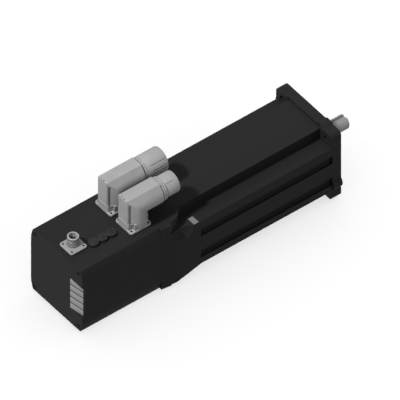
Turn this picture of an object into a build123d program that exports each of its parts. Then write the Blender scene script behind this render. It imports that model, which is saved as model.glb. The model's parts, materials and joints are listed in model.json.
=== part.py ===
from build123d import *
import math
import os

os.makedirs("parts", exist_ok=True)

# Mounting flange and pilot
flange_width = 89.4
flange_thick = 10.9
flange_ear_thick = 12.3
flange_corner_radius = 4.0
lobe_radius = 8.0
lobe_along = 25.2
lobe_out = 39.35
bolt_circle = 100.0
bolt_hole_radius = 3.5
pilot_radius = 40.0
pilot_height = 3.0
spigot_rear = -19.2

# Motor body section
body_half = flange_width / 2
body_top = 42.0
block_half = 25.9
notch_floor = 27.9
lower_edge = -31.6
groove_bands = [(6.2, 17.1), (-23.4, -12.8)]
groove_depth = 3.4
motor_rear = -176.9
motor_bore_radius = 34.5
assembly_screw_radius = 2.0
assembly_points = [(-22.4, 38.0), (37.6, 22.5), (22.4, -38.0), (-37.6, -26.5)]

# Adapter casting
adapter_rear = -224.1
collar_front = -212.6
collar_inset = 1.7
waist_inset = 2.2
flush_start = -200.0
scoop_reach = 15.5
scoop_depth = 5.0
scoop_x = -200.5
scoop_z = 28.6
ramp_rear = -202.5
ramp_drop = 6.8
encoder_space_front = motor_rear - 13.9

# Electronics box
box_rear = -323.9
cover_thick = 6.0
box_half_y = 41.5
box_half_z = 41.9
box_side_z = box_half_z - 15.4
box_top_half = 38.2
box_wall = 3.5
cover_screw_y = box_half_y - 6.0
cover_screw_z = box_half_z - 5.2
cover_screw_radius = 1.5

# Status window
window_front_y = -20.9
window_side_x = -320.7
window_low = -21.9
window_high = 20.4
bar_count = 5
bar_gap = 1.1
bar_thick = 0.9

# Shaft and rotor
shaft_radius = 8.0
shaft_end = 40.0
key_width = 5.0
key_depth = 3.0
key_start = 21.0
thread_radius = 2.1
front_seat_radius = 10.0
rotor_seat_radius = 12.0
rear_seat_radius = 7.5
rotor_core_radius = 19.0
magnet_thick = 2.6
magnet_count = 8
magnet_angle = 36.0
rotor_front = -38.0
rotor_rear = -150.0

# Stator
stator_slots = 12
stator_inner_radius = 22.2
stator_front = -40.0
stator_rear = -148.0

# Bearings: outer radius, bore radius, width and the front edge along the shaft
front_bearing = (21.0, 10.0, 12.0, -7.0)
rear_bearing = (17.5, 7.5, 11.0, motor_rear + 2.7)
seat_gap = 0.02

# Right-angle connectors
connector_x = -239.9
connector_half_spacing = 16.45
connector_top = box_half_z + 42.6
barrel_z = box_half_z + 28.5
barrel_radius = 13.9
flat_half = 6.8
leg_back = 13.75
foot_half = 13.0
foot_hole = 10.35
foot_thick = 3.0
leg_low = box_half_z + 17.4
ledge_z = box_half_z + 13.4
ledge_radius = 11.4
groove_radius = 1.5
groove_point = (10.4, 8.4)
mark_radius = 0.8
mark_half = 2.0
gasket_thick = 0.8
mouth_depth = 12.0
pin_setback = 6.5

# Round socket at the rear
socket_x = -306.9
socket_y = -4.8
socket_foot_half = 10.0
socket_hole = 7.3
socket_height = 14.1

# Blanking plugs
plug_x = [-287.6, -276.7, -265.8]
plug_y = -13.6
plug_radius = 5.6
plug_height = 2.6

slide_gap = 0.05


def export_node(name, shape):
    export_step(shape, "parts/" + name + ".step")


def disc_x(x0, x1, radius, y=0.0, z=0.0):
    low = min(x0, x1)
    high = max(x0, x1)
    return Pos((low + high) / 2, y, z) * Rot(0, 90, 0) * Cylinder(radius, high - low)


def tube_x(x0, x1, outer, inner, y=0.0, z=0.0):
    return disc_x(x0, x1, outer, y, z) - disc_x(min(x0, x1) - 1, max(x0, x1) + 1, inner, y, z)


def disc_z(x, y, z0, z1, radius):
    return Pos(x, y, (z0 + z1) / 2) * Cylinder(radius, abs(z1 - z0))


def block(x0, x1, y0, y1, z0, z1):
    middle = Pos((x0 + x1) / 2, (y0 + y1) / 2, (z0 + z1) / 2)
    return middle * Box(abs(x1 - x0), abs(y1 - y0), abs(z1 - z0))


def prism_x(face, x0, x1):
    return extrude(Plane.YZ.offset(min(x0, x1)) * face, abs(x1 - x0))


def prism_z(face, z0, z1):
    return Pos(0, 0, min(z0, z1)) * extrude(face, abs(z1 - z0))


def outline(points):
    return make_face(Polyline(*points, close=True))


def joined(shapes):
    whole = shapes[0]
    for shape in shapes[1:]:
        whole = whole + shape
    return whole


def screw_x(head_x, tip_x, shank, head_radius, head_height, y, z, socket):
    step = 1 if head_x > tip_x else -1
    head = disc_x(head_x, head_x - step * head_height, head_radius, y, z)
    hexagon = RegularPolygon(socket, 6)
    recess = prism_x(Pos(y, z) * hexagon, head_x + step, head_x - step * head_height * 0.55)
    return head + disc_x(head_x - step * head_height, tip_x, shank, y, z) - recess


def screw_z(x, y, head_z, tip_z, shank, head_radius, head_height, socket):
    head = disc_z(x, y, head_z - head_height, head_z, head_radius)
    recess = prism_z(Pos(x, y) * RegularPolygon(socket, 6), head_z - head_height * 0.6, head_z + 1)
    return head + disc_z(x, y, tip_z, head_z - head_height, shank) - recess


bolt_offset = bolt_circle / 2 * math.sqrt(0.5)
bolt_points = [(a * bolt_offset, b * bolt_offset) for a in (-1, 1) for b in (-1, 1)]

# Front flange with lobes, thicker corner ears, pilot and rear spigot
lobes = [
    (-lobe_along, lobe_out),
    (-lobe_out, -lobe_along),
    (lobe_along, -lobe_out),
    (lobe_out, lobe_along),
]
flange_face = RectangleRounded(flange_width, flange_width, flange_corner_radius)
for y, z in lobes:
    flange_face = flange_face + Pos(y, z) * Circle(lobe_radius)
flange = prism_x(flange_face, -flange_thick, 0)
ear_face = RectangleRounded(flange_width, flange_width, flange_corner_radius)
ear_face = ear_face - Rectangle(2 * block_half + 0.6, flange_width + 2)
ear_face = ear_face - Pos(0, (notch_floor + lower_edge) / 2) * Rectangle(
    flange_width + 2, notch_floor - lower_edge + 0.6
)
flange = flange + prism_x(ear_face, -flange_ear_thick, -flange_thick + 0.5)
flange = flange + disc_x(-1, pilot_height, pilot_radius)
flange = flange + disc_x(spigot_rear, -flange_thick + 0.5, motor_bore_radius - seat_gap)
flange = flange - disc_x(spigot_rear - 1, front_bearing[3], front_bearing[0] + seat_gap)
flange = flange - disc_x(front_bearing[3] - 1, -0.5, 15.0 + seat_gap)
flange = flange - disc_x(-1, pilot_height + 1, 10.6)
for y, z in bolt_points:
    flange = flange - disc_x(-20, 5, bolt_hole_radius, y, z)
for y, z in assembly_points:
    flange = flange - disc_x(-20, 5, assembly_screw_radius + 0.15, y, z)
    flange = flange - disc_x(-4.4, 5, 3.7, y, z)
pilot_edges = flange.edges().filter_by(GeomType.CIRCLE).filter_by(
    lambda edge: abs(edge.center().X - pilot_height) < 0.01 and abs(edge.radius - pilot_radius) < 0.01
)
flange = chamfer(pilot_edges, 0.6)
export_node("front_flange", flange)

flange_screws = [screw_x(-0.4, -26.0, assembly_screw_radius, 3.5, 4.0, y, z, 1.5) for y, z in assembly_points]
export_node("flange_screws", Compound(children=flange_screws))

# Motor housing: stepped corners and two side grooves over its whole length
lower_inner = lower_edge + 3.7
housing_points = [
    (-block_half, body_top),
    (block_half, body_top),
    (block_half, notch_floor),
    (body_half, notch_floor),
    (body_half, lower_edge),
    (block_half, lower_inner),
    (block_half, -body_top),
    (-block_half, -body_top),
    (-block_half, lower_inner),
    (-body_half, lower_edge),
    (-body_half, notch_floor),
    (-block_half, notch_floor),
]
housing_face = outline(housing_points)
for low, high in groove_bands:
    for side in (-1, 1):
        groove = RectangleRounded(2 * groove_depth, high - low, 1.2)
        housing_face = housing_face - Pos(side * body_half, (low + high) / 2) * groove
housing_face = housing_face - Circle(motor_bore_radius)
housing = prism_x(housing_face, motor_rear, -flange_thick)
for y, z in assembly_points:
    housing = housing - disc_x(motor_rear - 1, motor_rear + 22, assembly_screw_radius - 0.5, y, z)
    housing = housing - disc_x(-28, 0, assembly_screw_radius, y, z)
export_node("motor_housing", housing)

# Adapter casting: collar, widening body, stepped corners that end in rounded scoops
waist_half = body_half - waist_inset
collar_half = body_half - collar_inset
collar_plan = outline([
    (adapter_rear, -box_half_y),
    (collar_front, -collar_half),
    (collar_front, collar_half),
    (adapter_rear, box_half_y),
])
collar = prism_z(collar_plan, -body_top, body_top)
collar = collar & prism_x(RectangleRounded(2 * body_half, 2 * body_top, 1.6), adapter_rear, collar_front)
waist_line = Spline(
    (collar_front, -waist_half),
    ((collar_front + flush_start) / 2, -waist_half - 0.5 * waist_inset),
    (flush_start, -body_half),
    tangents=[(1, -0.1), (1, 0)],
)
waist_edge = Polyline(
    (flush_start, -body_half),
    (motor_rear, -body_half),
    (motor_rear, 0),
    (collar_front, 0),
    (collar_front, -waist_half),
)
waist_half_plan = make_face([waist_line, waist_edge])
waist_plan = waist_half_plan + mirror(waist_half_plan, Plane.XZ)
waist = prism_z(waist_plan, -body_top, body_top)
waist = waist & prism_x(RectangleRounded(2 * body_half, 2 * body_top, 4.5), collar_front, motor_rear)
adapter = collar + waist
scoop_radius = (scoop_reach ** 2 + scoop_depth ** 2) / (2 * scoop_depth)
scoop_y = body_half - scoop_depth + scoop_radius
for side in (-1, 1):
    pocket_bend = Spline(
        (motor_rear - 10.6, side * block_half),
        (motor_rear - 18.6, side * (block_half + 6.2)),
        (motor_rear - 34.9, side * (block_half + 13.6)),
        tangents=[(-1, 0), (-1, side * 0.25)],
    )
    pocket_sides = Polyline(
        (motor_rear - 34.9, side * (block_half + 13.6)),
        (motor_rear - 34.9, side * (body_half + 2)),
        (motor_rear + 1, side * (body_half + 2)),
        (motor_rear + 1, side * block_half),
        (motor_rear - 10.6, side * block_half),
    )
    pocket_plan = make_face([pocket_bend, pocket_sides])
    adapter = adapter - prism_z(pocket_plan, notch_floor, body_top + 2)
    adapter = adapter - Pos(scoop_x, side * scoop_y, scoop_z) * Sphere(scoop_radius)
    ramp = outline([
        (motor_rear + 1, lower_edge),
        (ramp_rear, lower_edge - ramp_drop),
        (ramp_rear - 4.5, -body_top - 1),
        (motor_rear + 1, -body_top - 1),
    ])
    ramp_cut = extrude(Plane.XZ.offset(side * (block_half + 10.5)) * ramp, 10.5, both=True)
    adapter = adapter - ramp_cut
adapter = adapter + disc_x(motor_rear - 2, motor_rear + 5, motor_bore_radius - seat_gap)
adapter = adapter - disc_x(rear_bearing[3] - 12.6, motor_rear + 7, rear_bearing[0] + seat_gap)
adapter = adapter - disc_x(encoder_space_front - 4, motor_rear + 7, 9.2)
cavity_face = RectangleRounded(57, 66, 5)
adapter = adapter - prism_x(cavity_face, adapter_rear - 1, encoder_space_front)
adapter_screw_seat = motor_rear - 8.1
for y, z in assembly_points:
    adapter = adapter - disc_x(adapter_rear - 6, motor_rear + 7, assembly_screw_radius - 0.35, y, z)
    adapter = adapter - disc_x(adapter_rear - 6, adapter_screw_seat, 3.0, y, z)
for a in (-1, 1):
    for b in (-1, 1):
        y = a * cover_screw_y
        z = b * cover_screw_z
        adapter = adapter - disc_x(adapter_rear - 6, adapter_rear + 9.1, cover_screw_radius, y, z)
export_node("rear_adapter", adapter)

head_x = adapter_screw_seat - 2.9
adapter_screws = [screw_x(head_x, head_x + 22, 1.5, 2.75, 2.9, y, z, 1.3) for y, z in assembly_points]
export_node("adapter_screws", Compound(children=adapter_screws))

patch_edge = 0.1 - body_half
patch = block(motor_rear - 8.5, motor_rear - 2.6, patch_edge, patch_edge + 10.1, notch_floor, notch_floor + 0.5)
export_node("marker_patch", patch)

# Electronics box with shoulders that curve in above and below the flat sides
shoulder_right = TangentArc((box_half_y, box_side_z), (box_top_half, box_half_z), tangent=(0, 1))
half_points = Polyline(
    (box_top_half, box_half_z),
    (0, box_half_z),
    (0, -box_half_z),
    (box_top_half, -box_half_z),
)
shoulder_low = TangentArc((box_half_y, -box_side_z), (box_top_half, -box_half_z), tangent=(0, -1))
side_line = Line((box_half_y, -box_side_z), (box_half_y, box_side_z))
box_half_face = make_face([shoulder_right, half_points, shoulder_low, side_line])
box_face = box_half_face + mirror(box_half_face, Plane.YZ)
cover_front = box_rear + cover_thick
shell = prism_x(box_face, cover_front, adapter_rear)
inner_y = box_half_y - box_wall
inner_z = box_half_z - box_wall
corner_y = cover_screw_y - 5.1
corner_z = cover_screw_z - 7.1
shell = shell - block(cover_front - 1, adapter_rear + 1, -inner_y, inner_y, -corner_z, corner_z)
shell = shell - block(cover_front - 1, adapter_rear + 1, -corner_y, corner_y, -inner_z, inner_z)
hole_low = box_half_z - 12
hole_high = box_half_z + 8
for a in (-1, 1):
    for b in (-1, 1):
        y = a * cover_screw_y
        z = b * cover_screw_z
        shell = shell - disc_x(cover_front - 1, adapter_rear + 1, cover_screw_radius + 0.15, y, z)
for side in (-1, 1):
    shell = shell - disc_z(connector_x, side * connector_half_spacing, hole_low, hole_high, 8.6)
    for a in (-1, 1):
        for b in (-1, 1):
            x = connector_x + a * foot_hole
            y = side * connector_half_spacing + b * foot_hole
            shell = shell - disc_z(x, y, box_half_z - 3.0, hole_high, 1.25)
shell = shell - disc_z(socket_x, socket_y, hole_low, hole_high, 6.2)
for a in (-1, 1):
    for b in (-1, 1):
        x = socket_x + a * socket_hole
        y = socket_y + b * socket_hole
        shell = shell - disc_z(x, y, box_half_z - 3.0, hole_high, 0.8)
for x in plug_x:
    shell = shell - disc_z(x, plug_y, hole_low, hole_high, 4.0)
export_node("electronics_housing", shell)

# Rear cover with a slanted window seat on one vertical corner
cover = prism_x(box_face, box_rear, cover_front)
seat_x = box_rear + 4.6
window_cut = outline([
    (box_rear - 1, window_front_y),
    (box_rear, window_front_y),
    (seat_x, window_front_y),
    (seat_x, -box_half_y - 1),
    (box_rear - 1, -box_half_y - 1),
])
cover = cover - prism_z(window_cut, window_low, window_high)
for a in (-1, 1):
    for b in (-1, 1):
        y = a * cover_screw_y
        z = b * cover_screw_z
        cover = cover - disc_x(box_rear - 1, cover_front + 1, cover_screw_radius + 0.15, y, z)
        cover = cover - disc_x(box_rear - 1, box_rear + 3.2, 3.0, y, z)
export_node("rear_cover", cover)

cover_screws = []
tip_x = adapter_rear + 8.6
for a in (-1, 1):
    for b in (-1, 1):
        y = a * cover_screw_y
        z = b * cover_screw_z
        cover_screws.append(screw_x(box_rear + 0.3, tip_x, cover_screw_radius, 2.75, 2.9, y, z, 1.25))
export_node("cover_screws", Compound(children=cover_screws))

# Window carrier with one pocket for each light bar
carrier_plan = outline([
    (box_rear, window_front_y),
    (window_side_x, -box_half_y),
    (seat_x, -box_half_y),
    (seat_x, window_front_y),
])
carrier = prism_z(carrier_plan, window_low, window_high)
facet_run = math.hypot(window_side_x - box_rear, box_half_y + window_front_y)
facet_x = (window_side_x - box_rear) / facet_run
facet_y = -(box_half_y + window_front_y) / facet_run
facet = Plane(
    origin=((box_rear + window_side_x) / 2, (window_front_y - box_half_y) / 2, 0),
    x_dir=(facet_x, facet_y, 0),
    z_dir=(facet_y, -facet_x, 0),
)
pitch = (window_high - window_low) / bar_count
bars = []
for index in range(bar_count):
    height = window_low + pitch * (index + 0.5)
    place = facet * Pos(0, height, -bar_thick / 2)
    bars.append(place * Box(facet_run - 1.6, pitch - bar_gap, bar_thick))
    carrier = carrier - place * Box(facet_run - 1.6, pitch - bar_gap, bar_thick + 0.001)
export_node("status_window", carrier)
export_node("status_bars", Compound(children=bars))

# Shaft with open keyway and centre thread
shaft = disc_x(2.0, shaft_end, shaft_radius)
shaft = chamfer(shaft.edges().filter_by(GeomType.CIRCLE).sort_by(Axis.X)[-1], 1.0)
front_shoulder = front_bearing[3] - front_bearing[2]
shaft = shaft + disc_x(front_shoulder, 2.0, front_seat_radius)
shaft = shaft + disc_x(-154.0, front_shoulder, rotor_seat_radius)
shaft = shaft + disc_x(rear_bearing[3], -154.0, rear_seat_radius + 1.9)
shaft = shaft + disc_x(encoder_space_front - 11.2, rear_bearing[3], rear_seat_radius)
shaft = shaft - block(key_start, shaft_end + 1, -key_width / 2, key_width / 2, shaft_radius - key_depth, 12)
shaft = shaft - disc_x(shaft_end - 12.5, shaft_end + 1, thread_radius)
shaft = shaft - Pos(shaft_end - 0.75, 0, 0) * Rot(0, 90, 0) * Cone(thread_radius, thread_radius + 1.5, 1.5)
export_node("shaft", shaft)

rotor_core = tube_x(rotor_rear, rotor_front, rotor_core_radius, rotor_seat_radius)
export_node("rotor_core", rotor_core)

magnet_outer = rotor_core_radius + magnet_thick
sector_far = magnet_outer * 1.5
half_angle = math.radians(magnet_angle / 2)
magnets = []
for index in range(magnet_count):
    sector = outline([
        (0, 0),
        (sector_far * math.cos(half_angle), -sector_far * math.sin(half_angle)),
        (sector_far * math.cos(half_angle), sector_far * math.sin(half_angle)),
    ])
    segment = (Circle(magnet_outer) - Circle(rotor_core_radius)) & sector
    segment = Rot(0, 0, index * 360 / magnet_count) * segment
    magnets.append(prism_x(segment, rotor_rear + 3, rotor_front - 3))
export_node("rotor_magnets", Compound(children=magnets))

# Stator core with slots and concentrated windings with end turns
stator_face = Circle(motor_bore_radius - seat_gap) - Circle(stator_inner_radius)
slot_face = Pos((stator_inner_radius + 30.6) / 2, 0) * Rectangle(30.6 - stator_inner_radius - 1.4, 6.6)
mouth_face = Pos(stator_inner_radius, 0) * Rectangle(4, 1.8)
coil_faces = []
for index in range(stator_slots):
    turn = Rot(0, 0, (index + 0.5) * 360 / stator_slots)
    stator_face = stator_face - turn * slot_face - turn * mouth_face
export_node("stator_core", prism_x(stator_face, stator_rear, stator_front))

windings = []
slot_middle = (stator_inner_radius + 30.6) / 2
for end_x, step in ((stator_front, 1), (stator_rear, -1)):
    windings.append(tube_x(end_x + step * 0.4, end_x + step * 12.4, 30.2, stator_inner_radius + 1.2))
end_turns = joined(windings)
for index in range(stator_slots):
    turn = Rot(0, 0, (index + 0.5) * 360 / stator_slots)
    bar = turn * Pos(slot_middle, 0) * Rectangle(6.4, 5.8)
    end_turns = end_turns + prism_x(bar, stator_rear - 1.0, stator_front + 1.0)
export_node("stator_windings", end_turns)


# Bearings: grooved rings, and balls with flats that sit in the pockets of a cage
def bearing_pieces(bearing, ball_radius, ball_total):
    outer_radius, bore_radius, width, front_x = bearing
    middle_x = front_x - width / 2
    pitch_radius = (outer_radius + bore_radius) / 2
    wall = (outer_radius - bore_radius) * 0.26
    reach = ball_radius + slide_gap
    track = tube_x(middle_x - reach, middle_x + reach, pitch_radius + reach, pitch_radius - reach)
    outer = tube_x(front_x - width, front_x, outer_radius, outer_radius - wall) - track
    inner = tube_x(front_x - width, front_x, bore_radius + wall, bore_radius) - track
    cage_half = wall * 0.35
    cage_low = middle_x - reach - 0.8
    cage_high = middle_x + reach + 0.8
    cage = tube_x(cage_low, cage_high, pitch_radius + cage_half, pitch_radius - cage_half)
    half = ball_radius * 0.863
    ball = chamfer(Box(2 * half, 2 * half, 2 * half).edges(), half * 0.585)
    balls = []
    for number in range(ball_total):
        turn = Rot(number * 360 / ball_total, 0, 0) * Pos(middle_x, 0, pitch_radius)
        cage = cage - turn * Box(2 * reach, 2 * reach, 2 * reach)
        balls.append(turn * ball)
    return outer, inner, cage, Compound(children=balls)


for place, bearing, ball_radius, ball_total in (
    ("front", front_bearing, 3.4, 9),
    ("rear", rear_bearing, 3.0, 8),
):
    outer, inner, cage, balls = bearing_pieces(bearing, ball_radius, ball_total)
    export_node(place + "_bearing_outer_ring", outer)
    export_node(place + "_bearing_inner_ring", inner)
    export_node(place + "_bearing_cage", cage)
    export_node(place + "_bearing_balls", balls)

seal = tube_x(-6.6, -0.8, 15.0, front_seat_radius + slide_gap)
seal = seal - tube_x(-7.6, -2.2, 13.4, front_seat_radius + 1.4)
export_node("shaft_seal", seal)

spring_x = rear_bearing[3] - rear_bearing[2]
spring = tube_x(spring_x - 1.55, spring_x - 0.05, rear_bearing[0] - 0.4, rear_bearing[0] - 3.0)
export_node("preload_spring", spring)

# Encoder: hub and disc on the shaft, read head board on the adapter
disc_rear = encoder_space_front - 8.8
disc_front = disc_rear + 1.2
hub = tube_x(disc_rear - 1.9, encoder_space_front - 2.6, 10.0, rear_seat_radius)
hub = hub + tube_x(disc_front, disc_front + 3.0, 13.0, rear_seat_radius)
export_node("encoder_hub", hub)
export_node("encoder_disc", tube_x(disc_rear, disc_front, 26.0, 10.0))
head_board_x = encoder_space_front - 17.2
standoff_offset = 24.5
head_board = prism_x(RectangleRounded(56, 60, 4), head_board_x - 1.6, head_board_x)
head_board = head_board + block(head_board_x, head_board_x + 5.4, -6, 6, 18, 27)
head_board = head_board - disc_x(head_board_x - 4, head_board_x + 3, 4)
standoffs = []
for a in (-1, 1):
    for b in (-1, 1):
        y = a * standoff_offset
        z = b * standoff_offset
        head_board = head_board - disc_x(head_board_x - 4, head_board_x + 1, 1.6, y, z)
        post = disc_x(head_board_x, encoder_space_front, 2.4, y, z)
        standoffs.append(post + disc_x(head_board_x - 3.2, head_board_x, 1.5, y, z))
export_node("encoder_read_board", head_board)
export_node("encoder_standoffs", Compound(children=standoffs))

# Drive electronics: two boards on pillars, capacitors and a heat spreader
power_z = -18.0
control_z = 10.0
board_edge = inner_y - 1.6
board_rear = cover_front + 5.9
board_front = adapter_rear - 7.9
spreader_top = -inner_z + 8.2
power_board = block(board_rear, board_front, -board_edge, board_edge, power_z, power_z + 1.8)
control_board = block(board_rear, board_front, -board_edge, board_edge, control_z, control_z + 1.6)
chips = [(12, -20, 10, 10), (28, 6, 14, 14), (50, 22, 8, 12), (62, -12, 12, 12)]
for along, y, length, width in chips:
    x = board_rear + along
    control_board = control_board + block(x, x + length, y, y + width, control_z + 1.6, control_z + 3.4)
pillar_points = [(x, y) for x in (board_rear + 4, board_front - 4) for y in (-25.0, 25.0)]
spreader = block(board_rear - 2, board_front + 2, 0.6 - corner_y, corner_y - 0.6, -inner_z, spreader_top)
export_node("heat_spreader", spreader)
pillars = []
for x, y in pillar_points:
    power_board = power_board - disc_z(x, y, power_z - 1, power_z + 3, 1.6)
    control_board = control_board - disc_z(x, y, control_z - 1, control_z + 3, 1.6)
    lower = disc_z(x, y, spreader_top, power_z, 3.0)
    middle = disc_z(x, y, power_z + 1.8, control_z, 3.0)
    pillars.append(lower + middle + disc_z(x, y, power_z - 1, control_z + 2.4, 1.6))
export_node("power_board", power_board)
export_node("control_board", control_board)
export_node("board_pillars", Compound(children=pillars))

capacitors = []
for x in (board_rear + 16, board_rear + 40, board_rear + 64):
    for y in (-14.0, 14.0):
        can = disc_z(x, y, power_z + 1.8, power_z + 22.0, 9.0)
        capacitors.append(can)
export_node("capacitors", Compound(children=capacitors))


# Right-angle connectors: leg and barrel share a flat-topped round section
def barrel_face(half_flat, rise, radius):
    angle = math.atan2(rise, half_flat) - math.acos(radius / math.hypot(half_flat, rise))
    touch_y = radius * math.cos(angle)
    touch_z = radius * math.sin(angle)
    cap = outline([
        (-touch_y, touch_z),
        (-half_flat, rise),
        (half_flat, rise),
        (touch_y, touch_z),
        (0, 0),
    ])
    return Circle(radius) + cap


def right_angle_body(y0, front_x, steps, bore_radius):
    rise = connector_top - barrel_z
    barrel = prism_x(Pos(y0, barrel_z) * barrel_face(flat_half, rise, barrel_radius), connector_x - 20, front_x)
    leg_plan = Circle(barrel_radius) + Pos(-leg_back / 2, 0) * Rectangle(leg_back, 2 * flat_half)
    leg = prism_z(Pos(connector_x, y0) * leg_plan, leg_low, connector_top)
    ahead = block(connector_x, front_x, y0 - 20, y0 + 20, barrel_z - 20, connector_top + 1)
    lower_leg = leg & block(connector_x - 20, connector_x + 20, y0 - 20, y0 + 20, hole_low, barrel_z)
    body = (barrel & (leg + ahead)) + lower_leg
    taper_height = leg_low - ledge_z
    taper = Cone(barrel_radius - 1.3, barrel_radius, taper_height)
    body = body + Pos(connector_x, y0, ledge_z + taper_height / 2) * taper
    foot_low = box_half_z + gasket_thick
    foot_high = foot_low + foot_thick
    body = body + disc_z(connector_x, y0, ledge_z - 1.2, ledge_z, ledge_radius)
    skirt_height = ledge_z - 1.2 - foot_high
    skirt = Cone(foot_half - 0.2, barrel_radius - 1.6, skirt_height)
    body = body + Pos(connector_x, y0, foot_high + skirt_height / 2) * skirt
    foot_face = Pos(connector_x, y0) * RectangleRounded(2 * foot_half, 2 * foot_half, 2.7)
    body = body + prism_z(foot_face, foot_low, foot_high)
    for a in (-1, 1):
        for b in (-1, 1):
            groove_top = connector_top - 3.0 if a < 0 else barrel_z + 1.5
            groove_x = connector_x + a * groove_point[0]
            groove_y = y0 + b * groove_point[1]
            body = body - disc_z(groove_x, groove_y, foot_high, groove_top, groove_radius)
            x = connector_x + a * foot_hole
            y = y0 + b * foot_hole
            body = body - disc_z(x, y, foot_low - 1, foot_high + 1, 1.5)
            body = body - disc_z(x, y, foot_high, foot_high + 6.5, 2.7)
    mark_x = connector_x - leg_back + 2.1
    for b in (-1, 1):
        body = body - disc_z(mark_x, y0 + b * mark_half, connector_top - 1.2, connector_top + 1, mark_radius)
    start = front_x - 1
    for end, radius in steps:
        body = body + disc_x(start, end, radius, y0, barrel_z)
        start = end - 0.2
    body = body - disc_x(connector_x, steps[-1][0] + 30, bore_radius, y0, barrel_z)
    body = body - disc_z(connector_x, y0, hole_low, barrel_z, 8.4)
    return body


power_y = connector_half_spacing
signal_y = -connector_half_spacing
contact_bore = 9.2
power_front = -209.6
power_ring_end = -180.0
power_neck = 11.0
power_ring_radius = 13.4
power_steps = [(power_front + 1.2, 12.6), (power_front + 4.0, 13.4), (power_ring_end - 1.5, power_neck)]
signal_front = -212.2
signal_ring_end = -190.4
signal_neck = 10.0
signal_ring_radius = 11.5
signal_steps = [
    (signal_front + 1.2, 12.6),
    (signal_front + 4.4, 13.2),
    (signal_front + 5.0, 12.4),
    (signal_front + 7.4, 12.9),
    (signal_front + 8.8, 11.9),
    (signal_ring_end - 1.5, signal_neck),
]
power_body = right_angle_body(power_y, power_front, power_steps, contact_bore)
signal_body = right_angle_body(signal_y, signal_front, signal_steps, contact_bore)
export_node("power_connector_body", power_body)
export_node("signal_connector_body", signal_body)

# Locking rings turn on the necks; the larger one has grip grooves on both sides
power_ring_start = power_front + 4.3
power_place = Pos(0, power_y, barrel_z)
power_ring = power_place * tube_x(power_ring_start, power_ring_end, power_ring_radius, power_neck + slide_gap)
for half_turn in (0, 180):
    for angle in (131.0, 157.5, 169.5, 181.5, 193.5):
        grip_start = power_ring_end - 18.0 if angle < 140 else power_ring_end - 15.0
        grip = disc_x(grip_start, power_ring_end + 1, 0.7, power_ring_radius, 0)
        power_ring = power_ring - power_place * Rot(angle + half_turn, 0, 0) * grip
export_node("power_locking_ring", power_ring)

signal_ring_start = signal_front + 9.1
signal_ring = tube_x(signal_ring_start, signal_ring_end, signal_ring_radius, signal_neck + slide_gap)
signal_ring = Pos(0, signal_y, barrel_z) * signal_ring
front_edges = signal_ring.edges().filter_by(GeomType.CIRCLE).filter_by(
    lambda edge: abs(edge.center().X - signal_ring_end) < 0.01 and abs(edge.radius - signal_ring_radius) < 0.01
)
signal_ring = chamfer(front_edges, 0.8)
signal_place = Pos(0, signal_y, barrel_z)
mark_slot = block(signal_ring_end - 10.2, signal_ring_end - 2, -0.35, 0.35, signal_ring_radius - 0.5, 13)
signal_ring = signal_ring - signal_place * Rot(16, 0, 0) * mark_slot
export_node("signal_locking_ring", signal_ring)


# Contact inserts, contacts, gaskets and foot screws of both connectors
def contact_ring(count, radius, y0, x0, x1, pin_radius):
    pins = [disc_x(x0, x1, pin_radius, y0, barrel_z)]
    for number in range(count):
        angle = 2 * math.pi * number / count
        y = y0 + radius * math.cos(angle)
        z = barrel_z + radius * math.sin(angle)
        pins.append(disc_x(x0, x1, pin_radius, y, z))
    return pins


for place, y0, end_x, pin_total, pin_circle, pin_radius in (
    ("power", power_y, power_ring_end, 5, 5.6, 1.0),
    ("signal", signal_y, signal_ring_end, 9, 6.2, 0.5),
):
    insert_front = end_x - mouth_depth
    insert = disc_x(insert_front - 8.0, insert_front, contact_bore - seat_gap, y0, barrel_z)
    pins = contact_ring(pin_total, pin_circle, y0, insert_front - 9.0, end_x - pin_setback, pin_radius)
    for pin in pins:
        insert = insert - pin
    export_node(place + "_contact_insert", insert)
    export_node(place + "_contact_pins", Compound(children=pins))
    gasket = prism_z(
        Pos(connector_x, y0) * (RectangleRounded(2 * foot_half - 0.8, 2 * foot_half - 0.8, 2.4) - Circle(8.6)),
        box_half_z,
        box_half_z + gasket_thick,
    )
    screws = []
    foot_top = box_half_z + gasket_thick + foot_thick
    for a in (-1, 1):
        for b in (-1, 1):
            x = connector_x + a * foot_hole
            y = y0 + b * foot_hole
            gasket = gasket - disc_z(x, y, hole_low, hole_high, 1.5)
            screws.append(screw_z(x, y, foot_top + 2.0, box_half_z - 2.6, 1.25, 2.4, 2.0, 1.1))
    export_node(place + "_connector_gasket", gasket)
    export_node(place + "_connector_screws", Compound(children=screws))

# Small round socket with a four hole foot
socket_low = box_half_z + gasket_thick
socket_foot = prism_z(
    Pos(socket_x, socket_y) * RectangleRounded(2 * socket_foot_half, 2 * socket_foot_half, 2.7),
    socket_low, socket_low + 1.8,
)
socket = socket_foot + disc_z(socket_x, socket_y, socket_low, socket_low + 4.2, 6.4)
socket = socket + disc_z(socket_x, socket_y, socket_low + 4.0, box_half_z + socket_height, 6.0)
socket_groove = disc_z(socket_x, socket_y, socket_low + 9.0, socket_low + 10.2, 8)
socket_groove = socket_groove - disc_z(socket_x, socket_y, socket_low, socket_low + 20, 5.5)
socket = socket - socket_groove
socket = socket - disc_z(socket_x, socket_y, hole_low, socket_low + 20, 4.6)
gasket_face = RectangleRounded(2 * socket_foot_half - 0.8, 2 * socket_foot_half - 0.8, 2.4) - Circle(6.2)
socket_gasket = prism_z(Pos(socket_x, socket_y) * gasket_face, box_half_z, socket_low)
socket_screws = []
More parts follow.
